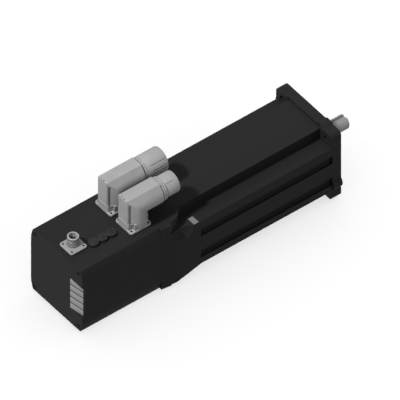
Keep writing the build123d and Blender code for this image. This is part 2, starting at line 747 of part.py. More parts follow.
for a in (-1, 1):
    for b in (-1, 1):
        x = socket_x + a * socket_hole
        y = socket_y + b * socket_hole
        socket = socket - disc_z(x, y, socket_low - 1, socket_low + 3, 1.0)
        socket = socket - disc_z(x, y, socket_low + 1.8, socket_low + 6, 1.75)
        socket_gasket = socket_gasket - disc_z(x, y, hole_low, hole_high, 1.0)
        socket_screws.append(screw_z(x, y, socket_low + 3.0, box_half_z - 2.6, 0.8, 1.6, 1.2, 0.7))
export_node("round_socket_body", socket)
export_node("round_socket_gasket", socket_gasket)
export_node("round_socket_screws", Compound(children=socket_screws))
insert_top = box_half_z + socket_height - 6.0
socket_insert = disc_z(socket_x, socket_y, box_half_z + 1.0, insert_top, 4.6 - seat_gap)
socket_pins = []
for index in range(4):
    angle = math.radians(45 + 90 * index)
    x = socket_x + 2.4 * math.cos(angle)
    y = socket_y + 2.4 * math.sin(angle)
    pin = disc_z(x, y, box_half_z - 1.0, insert_top + 2.0, 0.5)
    socket_insert = socket_insert - pin
    socket_pins.append(pin)
export_node("round_socket_insert", socket_insert)
export_node("round_socket_pins", Compound(children=socket_pins))

# Blanking plugs with sealing rings
plugs = []
plug_seals = []
plug_top = box_half_z + plug_height
for x in plug_x:
    head = disc_z(x, plug_y, box_half_z + 0.5, plug_top, plug_radius - 0.4)
    head = chamfer(head.edges().filter_by(GeomType.CIRCLE).sort_by(Axis.Z)[-1], 0.5)
    recess = prism_z(Pos(x, plug_y) * RegularPolygon(2.2, 6), plug_top - 1.6, plug_top + 1)
    stem = disc_z(x, plug_y, box_half_z - 7.0, box_half_z + 0.5, 4.0 - seat_gap)
    plugs.append(head + stem - recess)
    seal_ring = disc_z(x, plug_y, box_half_z, box_half_z + 0.5, plug_radius)
    plug_seals.append(seal_ring - disc_z(x, plug_y, hole_low, hole_high, 4.0))
export_node("port_plugs", Compound(children=plugs))
export_node("port_plug_seals", Compound(children=plug_seals))
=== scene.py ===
import json
import math

import bpy
from mathutils import Matrix, Vector


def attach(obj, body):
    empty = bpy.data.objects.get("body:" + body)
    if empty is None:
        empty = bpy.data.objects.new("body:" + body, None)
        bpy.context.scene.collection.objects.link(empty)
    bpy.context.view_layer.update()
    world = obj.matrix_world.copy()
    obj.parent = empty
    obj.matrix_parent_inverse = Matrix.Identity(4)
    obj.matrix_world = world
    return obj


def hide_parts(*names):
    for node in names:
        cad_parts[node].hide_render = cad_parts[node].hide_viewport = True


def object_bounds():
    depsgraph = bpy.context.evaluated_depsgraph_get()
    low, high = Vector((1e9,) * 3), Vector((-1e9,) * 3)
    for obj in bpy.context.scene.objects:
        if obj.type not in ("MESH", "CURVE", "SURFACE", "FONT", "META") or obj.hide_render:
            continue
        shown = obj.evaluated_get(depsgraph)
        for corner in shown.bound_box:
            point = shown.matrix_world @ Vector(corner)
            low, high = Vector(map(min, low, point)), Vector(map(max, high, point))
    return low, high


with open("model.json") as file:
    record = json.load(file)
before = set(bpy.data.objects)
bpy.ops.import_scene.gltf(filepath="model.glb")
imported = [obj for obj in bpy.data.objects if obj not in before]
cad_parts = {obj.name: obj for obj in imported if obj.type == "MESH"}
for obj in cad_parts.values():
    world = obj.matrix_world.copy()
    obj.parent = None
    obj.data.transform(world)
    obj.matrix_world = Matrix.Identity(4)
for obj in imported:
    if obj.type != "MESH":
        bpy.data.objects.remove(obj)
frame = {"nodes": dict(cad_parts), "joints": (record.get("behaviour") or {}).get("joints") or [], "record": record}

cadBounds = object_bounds()
cadNodes = frame["nodes"]
mm = 0.001
smoothBelow = 32  # degrees between two faces, past which their edge stays sharp
facing = 0.9  # least share of a direction that counts as pointing that way


def deselectAll():
    if bpy.context.object and bpy.context.object.mode != "OBJECT":
        bpy.ops.object.mode_set(mode="OBJECT")
    bpy.ops.object.select_all(action="DESELECT")


def pickOnly(piece):
    deselectAll()
    piece.select_set(True)
    bpy.context.view_layer.objects.active = piece


def pickFaces(piece, test):
    # leaves the piece in edit mode with only the wanted faces selected
    pickOnly(piece)
    bpy.ops.object.mode_set(mode="EDIT")
    bpy.ops.mesh.select_mode(type="FACE")
    bpy.ops.mesh.select_all(action="DESELECT")
    bpy.ops.object.mode_set(mode="OBJECT")
    for face in piece.data.polygons:
        face.select = bool(test(face))
    bpy.ops.object.mode_set(mode="EDIT")


def bevelEdges(piece, width, segments, angle):
    # width in millimetres, on edges sharper than the angle in degrees
    pickOnly(piece)
    rounding = piece.modifiers.new("rounding", "BEVEL")
    rounding.width = width * mm
    rounding.segments = segments
    rounding.limit_method = "ANGLE"
    rounding.angle_limit = math.radians(angle)
    bpy.ops.object.modifier_apply(modifier="rounding")


def finishPiece(piece, name, body, slotName, finish=None):
    # place goes into the mesh, then smooth shading, finish, slot and body
    # the finish is the slot's own unless one is given
    pickOnly(piece)
    bpy.ops.object.transform_apply(location=True, rotation=True, scale=True)
    bpy.ops.object.shade_smooth_by_angle(angle=math.radians(smoothBelow))
    piece.name = name
    piece.data.name = name
    piece.data.materials.clear()
    piece.data.materials.append(finish or finishes[slotName])
    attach(piece, body)
    deselectAll()
    return piece


deselectAll()
print("frame loaded with", len(cadNodes), "solids")


# node groups that the finishes share
noise = dict(low=0.3, high=0.7, blotchDetail=5.0, blotchRoughness=0.6)
softEdge = dict(samples=6, radius=0.0006)


def newGroup(name, inputs, outputs):
    group = bpy.data.node_groups.new(name, "ShaderNodeTree")
    for label, kind, value in inputs:
        socket = group.interface.new_socket(name=label, in_out="INPUT", socket_type=kind)
        if value is not None:
            socket.default_value = value
    for label, kind in outputs:
        group.interface.new_socket(name=label, in_out="OUTPUT", socket_type=kind)
    return group, group.nodes.new("NodeGroupInput"), group.nodes.new("NodeGroupOutput")


def mathNode(tree, operation, first, second):
    # the result is held between 0 and 1
    node = tree.nodes.new("ShaderNodeMath")
    node.operation = operation
    node.use_clamp = True
    for index, value in enumerate((first, second)):
        if isinstance(value, (int, float)):
            node.inputs[index].default_value = value
        else:
            tree.links.new(value, node.inputs[index])
    return node.outputs[0]


def makeGrainGroup():
    # fine grain for bump, and broad blotches for colour and gloss
    group, source, sink = newGroup(
        "surfaceGrain",
        [("Vector", "NodeSocketVector", None), ("Grain Scale", "NodeSocketFloat", 900.0),
         ("Blotch Scale", "NodeSocketFloat", 40.0), ("Detail", "NodeSocketFloat", 4.0)],
        [("Height", "NodeSocketFloat"), ("Blotch", "NodeSocketFloat")],
    )
    fine = group.nodes.new("ShaderNodeTexNoise")
    broad = group.nodes.new("ShaderNodeTexNoise")
    group.links.new(source.outputs["Vector"], fine.inputs["Vector"])
    group.links.new(source.outputs["Vector"], broad.inputs["Vector"])
    group.links.new(source.outputs["Grain Scale"], fine.inputs["Scale"])
    group.links.new(source.outputs["Blotch Scale"], broad.inputs["Scale"])
    group.links.new(source.outputs["Detail"], fine.inputs["Detail"])
    broad.inputs["Detail"].default_value = noise["blotchDetail"]
    broad.inputs["Roughness"].default_value = noise["blotchRoughness"]
    group.links.new(fine.outputs["Fac"], sink.inputs["Height"])
    group.links.new(broad.outputs["Fac"], sink.inputs["Blotch"])
    return group


def makeEdgeHighlightGroup():
    # softened normal near edges, and a mask for a painted highlight that grows where it differs from the flat one
    group, source, sink = newGroup(
        "edgeHighlightPaint",
        [("Strength", "NodeSocketFloat", 6.0), ("Break Up", "NodeSocketFloat", 0.5)],
        [("Mask", "NodeSocketFloat"), ("Normal", "NodeSocketVector")],
    )
    soft = group.nodes.new("ShaderNodeBevel")
    soft.samples = softEdge["samples"]
    soft.inputs["Radius"].default_value = softEdge["radius"]
    flat = group.nodes.new("ShaderNodeNewGeometry")
    dot = group.nodes.new("ShaderNodeVectorMath")
    dot.operation = "DOT_PRODUCT"
    group.links.new(soft.outputs["Normal"], dot.inputs[0])
    group.links.new(flat.outputs["True Normal"], dot.inputs[1])
    away = mathNode(group, "SUBTRACT", 1.0, dot.outputs["Value"])
    lifted = mathNode(group, "MULTIPLY", away, source.outputs["Strength"])
    broken = mathNode(group, "MULTIPLY", lifted, source.outputs["Break Up"])
    group.links.new(broken, sink.inputs["Mask"])
    group.links.new(soft.outputs["Normal"], sink.inputs["Normal"])
    return group


grainGroup = makeGrainGroup()
edgeHighlightGroup = makeEdgeHighlightGroup()


def mixColour(tree, factor, first, second):
    node = tree.nodes.new("ShaderNodeMix")
    node.data_type = "RGBA"
    tree.links.new(factor, node.inputs[0])
    for index, value in ((6, first), (7, second)):
        if isinstance(value, tuple):
            node.inputs[index].default_value = value
        else:
            tree.links.new(value, node.inputs[index])
    return node.outputs[2]


def spread(tree, value, low, high):
    # stretches the middle of the noise, where nearly all of it lies, over low to high
    node = tree.nodes.new("ShaderNodeMapRange")
    node.inputs["From Min"].default_value = noise["low"]
    node.inputs["From Max"].default_value = noise["high"]
    node.inputs["To Min"].default_value = low
    node.inputs["To Max"].default_value = high
    tree.links.new(value, node.inputs["Value"])
    return node.outputs["Result"]


# what a look says of itself goes over these
plainLook = dict(stretch=(1, 1, 1), blotchScale=35.0, highlightStrength=6.0, bumpDepth=0.0001,
                 metal=0.0, coat=0.0, coatRoughness=0.25, specular=0.5)


def makeFinish(name, ownLook):
    # one surface finish: base colour with blotches, a painted highlight mixed in along the edges, grain or brushed
    # lines
    look = {**plainLook, **ownLook}
    material = bpy.data.materials.new(name)
    material.use_nodes = True
    tree = material.node_tree
    shader = tree.nodes["Principled BSDF"]
    place = tree.nodes.new("ShaderNodeTexCoord")
    mapping = tree.nodes.new("ShaderNodeMapping")
    mapping.inputs["Scale"].default_value = look["stretch"]
    tree.links.new(place.outputs["Object"], mapping.inputs["Vector"])
    grain = tree.nodes.new("ShaderNodeGroup")
    grain.node_tree = grainGroup
    grain.inputs["Grain Scale"].default_value = look["grainScale"]
    grain.inputs["Blotch Scale"].default_value = look["blotchScale"]
    tree.links.new(mapping.outputs["Vector"], grain.inputs["Vector"])
    edge = tree.nodes.new("ShaderNodeGroup")
    edge.node_tree = edgeHighlightGroup
    edge.inputs["Strength"].default_value = look["highlightStrength"]
    blotch = grain.outputs["Blotch"]
    tree.links.new(blotch, edge.inputs["Break Up"])
    blotched = mixColour(tree, spread(tree, blotch, 0.0, 1.0), look["deep"], look["base"])
    # painted highlight: the look's edge colour, lighter than the base, is mixed in along edges
    coloured = mixColour(tree, edge.outputs["Mask"], blotched, look["edge"])
    tree.links.new(coloured, shader.inputs["Base Color"])
    glossy, dull = look["rough"]
    tree.links.new(spread(tree, blotch, glossy, dull), shader.inputs["Roughness"])
    bump = tree.nodes.new("ShaderNodeBump")
    bump.inputs["Strength"].default_value = look["bump"]
    bump.inputs["Distance"].default_value = look["bumpDepth"]
    tree.links.new(grain.outputs["Height"], bump.inputs["Height"])
    tree.links.new(edge.outputs["Normal"], bump.inputs["Normal"])
    tree.links.new(bump.outputs["Normal"], shader.inputs["Normal"])
    shader.inputs["Metallic"].default_value = look["metal"]
    shader.inputs["Coat Weight"].default_value = look["coat"]
    shader.inputs["Coat Roughness"].default_value = look["coatRoughness"]
    shader.inputs["Specular IOR Level"].default_value = look["specular"]
    return material


def grey(value, tint=0.0):
    return (value, value, value * (1 + tint), 1)


# each look's edge colour is the painted highlight that the finish mixes in along edges
looks = {
    "black_cast": dict(base=grey(0.0205, 0.04), deep=grey(0.0172), edge=grey(0.036), grainScale=1500.0,
                       bump=0.28, rough=(0.5, 0.62), blotchScale=22.0, specular=0.16),
    "black_body": dict(base=grey(0.0195, 0.04), deep=grey(0.0163), edge=grey(0.036), grainScale=700.0,
                       bump=0.14, rough=(0.48, 0.58), stretch=(0.05, 1, 1), blotchScale=26.0,
                       specular=0.16),
    "black_box": dict(base=grey(0.0208, 0.04), deep=grey(0.0175), edge=grey(0.034), grainScale=1300.0,
                      bump=0.2, rough=(0.5, 0.6), blotchScale=20.0, specular=0.16),
    "dark_screw": dict(base=grey(0.011), deep=grey(0.007), edge=grey(0.02), grainScale=1200.0,
                       bump=0.2, rough=(0.42, 0.54), specular=0.14),
    "window_plastic": dict(base=grey(0.012), deep=grey(0.009), edge=grey(0.014), grainScale=500.0,
                           bump=0.04, rough=(0.3, 0.38), specular=0.2),
    "light_bar": dict(base=grey(0.31), deep=grey(0.285), edge=grey(0.35), grainScale=900.0,
                      bump=0.05, rough=(0.3, 0.38), coat=0.2),
    "white_mark": dict(base=grey(0.2), deep=grey(0.18), edge=grey(0.23), grainScale=1400.0,
                       bump=0.08, rough=(0.5, 0.6)),
    "shaft_steel": dict(base=grey(0.42, 0.02), deep=grey(0.36), edge=grey(0.5), grainScale=420.0,
                        bump=0.12, rough=(0.34, 0.46), metal=0.35, stretch=(6, 0.6, 0.6)),
    "connector_metal": dict(base=grey(0.44, 0.01), deep=grey(0.39, 0.01), edge=grey(0.6), grainScale=1500.0,
                            bump=0.16, rough=(0.48, 0.6), metal=0.15, blotchScale=60.0),
    "ring_metal": dict(base=grey(0.45, 0.01), deep=grey(0.4, 0.01), edge=grey(0.62), grainScale=500.0,
                       bump=0.16, rough=(0.42, 0.54), metal=0.2, stretch=(8, 0.6, 0.6), blotchScale=30.0),
    "insert_plastic": dict(base=grey(0.03), deep=grey(0.022), edge=grey(0.06), grainScale=1100.0,
                           bump=0.12, rough=(0.45, 0.55)),
    "contact_metal": dict(base=(0.72, 0.53, 0.24, 1), deep=(0.6, 0.42, 0.18, 1), edge=(0.85, 0.68, 0.36, 1),
                          grainScale=900.0, bump=0.05, rough=(0.2, 0.3), metal=1.0),
    "seal_rubber": dict(base=grey(0.016), deep=grey(0.012), edge=grey(0.025), grainScale=1300.0,
                        bump=0.25, rough=(0.65, 0.8), specular=0.3),
    "screw_steel": dict(base=grey(0.3), deep=grey(0.2), edge=grey(0.5), grainScale=900.0,
                        bump=0.15, rough=(0.3, 0.42), metal=0.8),
    "plug_plastic": dict(base=grey(0.017), deep=grey(0.013), edge=grey(0.04), grainScale=1200.0,
                         bump=0.12, rough=(0.4, 0.5)),
    "lamination": dict(base=grey(0.2), deep=grey(0.12), edge=grey(0.3), grainScale=900.0,
                       bump=0.35, rough=(0.45, 0.6), metal=0.8, stretch=(9, 0.3, 0.3)),
    "magnet": dict(base=grey(0.45), deep=grey(0.35), edge=grey(0.6), grainScale=800.0,
                   bump=0.08, rough=(0.25, 0.35), metal=1.0),
    "copper": dict(base=(0.5, 0.18, 0.06, 1), deep=(0.36, 0.11, 0.035, 1), edge=(0.62, 0.28, 0.12, 1),
                   grainScale=900.0, bump=0.5, rough=(0.3, 0.42), metal=0.7, stretch=(0.4, 3, 3)),
    "steel": dict(base=grey(0.5), deep=grey(0.42), edge=grey(0.65), grainScale=700.0,
                  bump=0.06, rough=(0.15, 0.24), metal=1.0),
    "cage_steel": dict(base=(0.42, 0.38, 0.3, 1), deep=(0.3, 0.27, 0.2, 1), edge=(0.55, 0.5, 0.42, 1),
                       grainScale=800.0, bump=0.15, rough=(0.35, 0.5), metal=0.9),
    "aluminium_part": dict(base=grey(0.5), deep=grey(0.42), edge=grey(0.65), grainScale=800.0,
                           bump=0.15, rough=(0.35, 0.48), metal=0.9),
    "disc_glass": dict(base=grey(0.45), deep=grey(0.35), edge=grey(0.6), grainScale=500.0,
                       bump=0.03, rough=(0.1, 0.16), coat=0.5),
    "board": dict(base=(0.015, 0.11, 0.045, 1), deep=(0.01, 0.075, 0.03, 1), edge=(0.2, 0.22, 0.12, 1),
                  grainScale=900.0, bump=0.2, rough=(0.3, 0.42)),
    "capacitor_can": dict(base=(0.02, 0.03, 0.07, 1), deep=(0.014, 0.02, 0.05, 1), edge=grey(0.2),
                          grainScale=700.0, bump=0.06, rough=(0.25, 0.35), coat=0.3),
}
finishes = {slotName: makeFinish(slotName, look) for slotName, look in looks.items()}

for entry in frame["record"]["subparts"]:
    solid = cadNodes[entry["node"]]
    finish = finishes[entry["material_slot"]]
    if solid.material_slots:
        for holder in solid.material_slots:
            holder.material = finish
    else:
        solid.data.materials.append(finish)
print("finishes made and given to the solids:", len(finishes))


# shared steps of the modelled pieces, with sizes and places in millimetres
cutPast = 1.0  # how far a cutting tool runs past the face it opens


def addBlock(centre, size):
    deselectAll()
    bpy.ops.mesh.primitive_cube_add(size=1, location=[value * mm for value in centre])
    piece = bpy.context.object
    piece.scale = [value * mm for value in size]
    bpy.ops.object.transform_apply(location=True, rotation=False, scale=True)
    return piece


def addDrum(x, y, low, high, radius, sides=32):
    # an upright cylinder
    deselectAll()
    bpy.ops.mesh.primitive_cylinder_add(vertices=sides, radius=radius * mm, depth=(high - low) * mm,
                                        location=(x * mm, y * mm, (low + high) / 2 * mm))
    piece = bpy.context.object
    bpy.ops.object.transform_apply(location=True, rotation=False, scale=False)
    return piece


def addRod(start, end, y, z, radius, sides=96):
    # a cylinder that lies along the motor
    deselectAll()
    bpy.ops.mesh.primitive_cylinder_add(vertices=sides, radius=radius * mm, depth=(end - start) * mm,
                                        location=((start + end) / 2 * mm, y * mm, z * mm),
                                        rotation=(0, math.pi / 2, 0))
    piece = bpy.context.object
    bpy.ops.object.transform_apply(location=True, rotation=True, scale=False)
    return piece


def cutAway(piece, tool):
    pickOnly(piece)
    cut = piece.modifiers.new("cut", "BOOLEAN")
    cut.operation = "DIFFERENCE"
    cut.solver = "EXACT"
    cut.object = tool
    bpy.ops.object.modifier_apply(modifier="cut")
    bpy.data.objects.remove(tool, do_unlink=True)


def joinOnto(piece, others):
    pickOnly(piece)
    for other in others:
        other.select_set(True)
    bpy.ops.object.join()


def roundUprightEdges(piece, radius, segments=6):
    pickOnly(piece)
    bpy.ops.object.mode_set(mode="EDIT")
    bpy.ops.mesh.select_mode(type="EDGE")
    bpy.ops.mesh.select_all(action="DESELECT")
    bpy.ops.object.mode_set(mode="OBJECT")
    points = piece.data.vertices
    for edge in piece.data.edges:
        rise = points[edge.vertices[0]].co - points[edge.vertices[1]].co
        edge.select = abs(rise.z) > facing * rise.length
    bpy.ops.object.mode_set(mode="EDIT")
    bpy.ops.mesh.bevel(offset=radius * mm, segments=segments, affect="EDGES")
    bpy.ops.object.mode_set(mode="OBJECT")


def addSlab(x, y, half, low, high, corner, edgeRound):
    # square slab with round corners and softened edges
    piece = addBlock((x, y, (low + high) / 2), (2 * half, 2 * half, high - low))
    roundUprightEdges(piece, corner)
    bevelEdges(piece, edgeRound, segments=3, angle=50)
    return piece


def drawAlong(sections):
    # one ring of points drawn out from section to section into a closed skin
    deselectAll()
    bpy.ops.mesh.primitive_circle_add(vertices=len(sections[0]), radius=1, fill_type="NGON")
    piece = bpy.context.object
    for vertex, point in zip(piece.data.vertices, sections[0]):
        vertex.co = [value * mm for value in point]
    bpy.ops.object.mode_set(mode="EDIT")
    bpy.ops.mesh.select_all(action="SELECT")
    for section in sections[1:]:
        bpy.ops.mesh.extrude_region_move(TRANSFORM_OT_translate={"value": (0, 0, 0)})
        bpy.ops.object.mode_set(mode="OBJECT")
        moved = [vertex for vertex in piece.data.vertices if vertex.select]
        for vertex, point in zip(moved, section):
            vertex.co = [value * mm for value in point]
        bpy.ops.object.mode_set(mode="EDIT")
    bpy.ops.mesh.select_all(action="SELECT")
    bpy.ops.mesh.normals_make_consistent(inside=False)
    bpy.ops.object.mode_set(mode="OBJECT")
    return piece


def turnsAround(points):
    return [2 * math.pi * index / points for index in range(points)]


def cornerSpots(x, y, out):
    return [(x + a * out, y + b * out) for a in (1, -1) for b in (1, -1)]


# sunk socket heads in the feet, dark in the photograph, so not in the slot's own finish
footScrew = dict(high=0.7, play=0.05, sides=24,
                 recessFloor=0.2, recessToolTop=2.0, recessShare=0.68, recessSides=6)


def makeFootScrews(name, spots, seat, radius, standsFor):
    # one mesh for the four, each with a six sided recess
    heads = []
    for x, y in spots:
        head = addDrum(x, y, seat, seat + footScrew["high"], radius - footScrew["play"], footScrew["sides"])
        cutAway(head, addDrum(x, y, seat + footScrew["recessFloor"], seat + footScrew["recessToolTop"],
                              radius * footScrew["recessShare"], footScrew["recessSides"]))
        heads.append(head)
    joinOnto(heads[0], heads[1:])
    finishPiece(heads[0], name, "frame", "screw_steel", finishes["dark_screw"])
    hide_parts(standsFor)


# round caps in the three ports beside the plugs
portCap = dict(spots=(-289.4, -278.3, -267.2), y=-15.3, seat=42.0, high=3.4, radius=5.5, sides=48,
               rim=0.7, dish=0.12, hub=1.3, hubRise=0.084, edgeRound=0.22)


def makePortCaps():
    made = []
    for number, x in enumerate(portCap["spots"], 1):
        piece = addDrum(x, portCap["y"], portCap["seat"], portCap["seat"] + portCap["high"],
                        portCap["radius"], portCap["sides"])
        pickFaces(piece, lambda face: face.normal.z > facing)
        for border, rise in ((portCap["rim"], -portCap["dish"]), (portCap["hub"], portCap["hubRise"])):
            bpy.ops.mesh.inset(thickness=border * mm)
            bpy.ops.mesh.extrude_region_move(TRANSFORM_OT_translate={"value": (0, 0, rise * mm)})
        bpy.ops.object.mode_set(mode="OBJECT")
        bevelEdges(piece, portCap["edgeRound"], segments=3, angle=40)
        made.append(finishPiece(piece, "portCap%d" % number, "frame", "plug_plastic"))
    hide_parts("port_plugs")
    return made


portCaps = makePortCaps()
print("port caps:", len(portCaps))


# right-angle plugs: a barrel that turns down into a leg, which stands in a skirt on a screwed foot
elbow = dict(legX=-239.55, radius=13.9, rise=14.1, flatHalf=6.8, points=72, boreRadius=9.25, boreDeep=18.6,
             grooveLow=53.9, grooveHigh=54.9, grooveRadius=13.7, legEnd=44.3,
             slotBack=11.0, slotSide=7.6, slotRadius=1.65, slotHigh=79.4, slotSides=24,
             # small holes near the back of the top: x, aside, bottom, radius, sides
             topHoles=((-252.4, -1.4, 82.0, 1.0, 16), (-251.9, 2.2, 83.6, 1.3, 20)), topHoleHigh=86.0)
plugFoot = dict(x=-240.4, aside=-0.6, low=42.7, high=45.3, half=13.2, corner=2.7, edgeRound=0.4,
                skirtHigh=53.9, skirtHalf=12.4, skirtCorner=3.0, skirtRound=0.5, skirtSunk=0.5,
                pocketHigh=52.9, pocketRadius=3.2, screwOut=10.45, screwRadius=1.3, screwDeep=1.0,
                screwSides=24)
# each plug's barrel has steps behind its ring, as x and radius pairs
plugs = {
    "power": dict(front=-209.6, tip=-181.5, neck=11.0,
                  steps=((-205.6, 13.4), (-207.9, 13.4), (-207.9, 11.0), (-209.6, 11.0))),
    "signal": dict(front=-212.2, tip=-191.9, neck=10.0,
                   steps=((-205.3, 11.6), (-206.3, 11.6), (-206.3, 12.9), (-208.2, 12.9), (-208.2, 11.8),
                          (-208.9, 11.8), (-208.9, 13.2), (-210.8, 13.2), (-210.8, 11.0), (-212.2, 11.0))),
}
# a plug's middle line is the line that its locking ring turns about
for place, plug in plugs.items():
    ringJoint = next(joint for joint in frame["joints"] if joint["child"] == place + "_ring")
    plug["y"], plug["z"] = [value / mm for value in ringJoint["pos_m"][1:]]


def capOutline(count, radius, flatHalf, rise):
    # circle with a flat on top that runs tangentially into it, as points aside and up
    corner = math.atan2(rise, flatHalf)
    touch = corner - math.acos(radius / math.hypot(flatHalf, rise))
    outline = []
    for angle in turnsAround(count):
        lift = abs(math.pi / 2 - angle)
        if lift > math.pi / 2 - touch:
            outline.append((radius * math.cos(angle), radius * math.sin(angle)))
        elif lift > math.pi / 2 - corner:
            reach = radius / math.cos((math.pi / 2 - lift) - touch)
            outline.append((reach * math.cos(angle), reach * math.sin(angle)))
        else:
            outline.append((rise / math.tan(angle), rise))
    # the points nearest to the two corners of the flat go onto them
    for side in (1, -1):
        flatEnd = (side * flatHalf, rise)
        nearest = min(range(count), key=lambda index: math.dist(outline[index], flatEnd))
        outline[nearest] = flatEnd
    return outline


def heldWithin(outline, reach):
    # the same outline, with what lies outside a circle drawn in to it
    shares = [min(1.0, reach / math.hypot(aside, up)) for aside, up in outline]
    return [(share * aside, share * up) for share, (aside, up) in zip(shares, outline)]


def makePlugSkin(plug):
    # one skin from the bore out over the neck, back along the barrel and down the leg
    outline = capOutline(elbow["points"], elbow["radius"], elbow["flatHalf"], elbow["rise"])
    grooved = heldWithin(outline, elbow["grooveRadius"])

    def ringAt(x, radius):
        return [(x, plug["y"] + radius * math.cos(turn), plug["z"] + radius * math.sin(turn))
                for turn in turnsAround(elbow["points"])]

    def legAt(level, plan):
        return [(elbow["legX"] - up, plug["y"] + aside, level) for aside, up in plan]

    sections = [ringAt(plug["tip"] - elbow["boreDeep"], elbow["boreRadius"]),
                ringAt(plug["tip"], elbow["boreRadius"]), ringAt(plug["tip"], plug["neck"]),
                ringAt(plug["steps"][0][0], plug["neck"])]
    sections += [ringAt(x, radius) for x, radius in plug["steps"]]
    sections.append([(plug["front"], plug["y"] + aside, plug["z"] + up) for aside, up in outline])
    # the slanted section where the barrel turns down into the leg
    sections.append([(elbow["legX"] - up, plug["y"] + aside, plug["z"] + up) for aside, up in outline])
    sections += [legAt(elbow["grooveHigh"], outline), legAt(elbow["grooveHigh"], grooved),
                 legAt(elbow["grooveLow"], grooved), legAt(elbow["grooveLow"], outline),
                 legAt(elbow["legEnd"], outline)]
    return drawAlong(sections)


def makePlugBody(place, plug):
    piece = makePlugSkin(plug)
    cutLow = elbow["legEnd"] - cutPast
    for side in (1, -1):
        cutAway(piece, addDrum(elbow["legX"] - elbow["slotBack"], plug["y"] + side * elbow["slotSide"],
                               cutLow, elbow["slotHigh"], elbow["slotRadius"], elbow["slotSides"]))
    for x, aside, bottom, radius, sides in elbow["topHoles"]:
        cutAway(piece, addDrum(x, plug["y"] + aside, bottom, elbow["topHoleHigh"], radius, sides))
    footX, footY = plugFoot["x"], plug["y"] + plugFoot["aside"]
    skirt = addSlab(footX, footY, plugFoot["skirtHalf"], plugFoot["high"] - plugFoot["skirtSunk"],
                    plugFoot["skirtHigh"], plugFoot["skirtCorner"], plugFoot["skirtRound"])
    foot = addSlab(footX, footY, plugFoot["half"], plugFoot["low"], plugFoot["high"],
                   plugFoot["corner"], plugFoot["edgeRound"])
    spots = cornerSpots(footX, footY, plugFoot["screwOut"])
    seat = plugFoot["high"] - plugFoot["screwDeep"]
    for x, y in spots:
        cutAway(skirt, addDrum(x, y, cutLow, plugFoot["skirtHigh"] + cutPast, plugFoot["pocketRadius"]))
        cutAway(piece, addDrum(x, y, cutLow, plugFoot["pocketHigh"], plugFoot["pocketRadius"]))
        cutAway(foot, addDrum(x, y, seat, plugFoot["high"] + cutPast, plugFoot["screwRadius"],
                              plugFoot["screwSides"]))
    makeFootScrews(place + "FootScrews", spots, seat, plugFoot["screwRadius"], place + "_connector_screws")
    joinOnto(piece, [skirt, foot])
    finishPiece(piece, place + "PlugBody", "frame", "connector_metal")
    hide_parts(place + "_connector_body")
    return piece


plugBodies = [makePlugBody(place, plug) for place, plug in plugs.items()]
print("plug bodies:", [len(piece.data.polygons) for piece in plugBodies])


# locking rings that turn on the plug necks, with grip slots along their edge
# each cut is angle, start, end, width and depth, and is repeated at each turn in halfTurns
lockingRings = {
    "power": dict(start=-205.25, end=-180.0, outer=13.4, inner=11.08, edgeRound=0.35, halfTurns=(0, 180),
                  cuts=((137.8, -199.8, -179.0, 0.9, 0.8), (167.5, -198.5, -179.0, 1.7, 1.3),
                        (179.5, -198.0, -179.0, 1.7, 1.3), (191.5, -197.5, -179.0, 1.5, 1.2),
                        (203.0, -197.0, -179.0, 1.4, 1.1))),
    "signal": dict(start=-205.1, end=-189.7, outer=11.9, inner=10.08, edgeRound=0.8, halfTurns=(0,),
                   cuts=((126.5, -203.6, -195.4, 0.8, 0.7),)),
}


def makeLockingRing(place, ring):
    y, z = plugs[place]["y"], plugs[place]["z"]
    piece = addRod(ring["start"], ring["end"], y, z, ring["outer"])
    cutAway(piece, addRod(ring["start"] - cutPast, ring["end"] + cutPast, y, z, ring["inner"]))
    bevelEdges(piece, ring["edgeRound"], segments=2, angle=50)
    for halfTurn in ring["halfTurns"]:
        for angle, start, end, width, depth in ring["cuts"]:
            # the tool is made on top of the ring, at 90 degrees, and turned from there
            tool = addBlock(((start + end) / 2, 0, ring["outer"] + (cutPast - depth) / 2),
                            (end - start, width, depth + cutPast))
            turn = Matrix.Rotation(math.radians(angle + halfTurn - 90), 4, "X")
            tool.data.transform(Matrix.Translation((0, y * mm, z * mm)) @ turn)
            cutAway(piece, tool)
    finishPiece(piece, place + "LockingRing", place + "_ring", "ring_metal")
    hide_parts(place + "_locking_ring")
    return piece


ringPieces = [makeLockingRing(place, ring) for place, ring in lockingRings.items()]
print("locking rings:", [len(piece.data.polygons) for piece in ringPieces])


# small round socket: square foot with four screws, turned barrel with an open bore, and a rim in its mouth
# barrel and rim are drawn round from height and radius pairs
socket = dict(x=-306.9, y=-4.8, footX=-307.5, footY=-6.0, footHalf=10.3, footCorner=2.6, footRound=0.35,
              low=42.7, high=44.7, screwOut=7.3, screwRadius=1.25, screwDeep=1.0, screwSides=24,
              points=64, barrelRound=0.12,
              barrel=((45.0, 5.05), (55.2, 5.05), (55.2, 6.0), (52.4, 6.0), (52.4, 5.35), (51.4, 5.35),
                      (51.4, 6.1), (47.6, 6.1), (47.0, 6.5), (44.4, 6.5)),
              rim=((42.75, 4.62), (56.0, 4.62), (56.0, 5.75), (55.7, 6.05), (55.1, 6.05), (55.1, 5.0),
                   (42.6, 5.0)))
socketBarrelLook = dict(base=grey(0.24, 0.01), deep=grey(0.2, 0.01), edge=grey(0.5), grainScale=600.0,
                        bump=0.2, rough=(0.4, 0.5), metal=0.3, stretch=(0.6, 0.6, 6), blotchScale=40.0)
socketFootLook = dict(base=grey(0.37, 0.01), deep=grey(0.33, 0.01), edge=grey(0.5), grainScale=1500.0,
                      bump=0.16, rough=(0.48, 0.6), metal=0.15, blotchScale=60.0)


def turnedFrom(profile):
    def ringAt(height, radius):
        return [(socket["x"] + radius * math.cos(turn), socket["y"] + radius * math.sin(turn), height)
                for turn in turnsAround(socket["points"])]

    return drawAlong([ringAt(height, radius) for height, radius in profile])


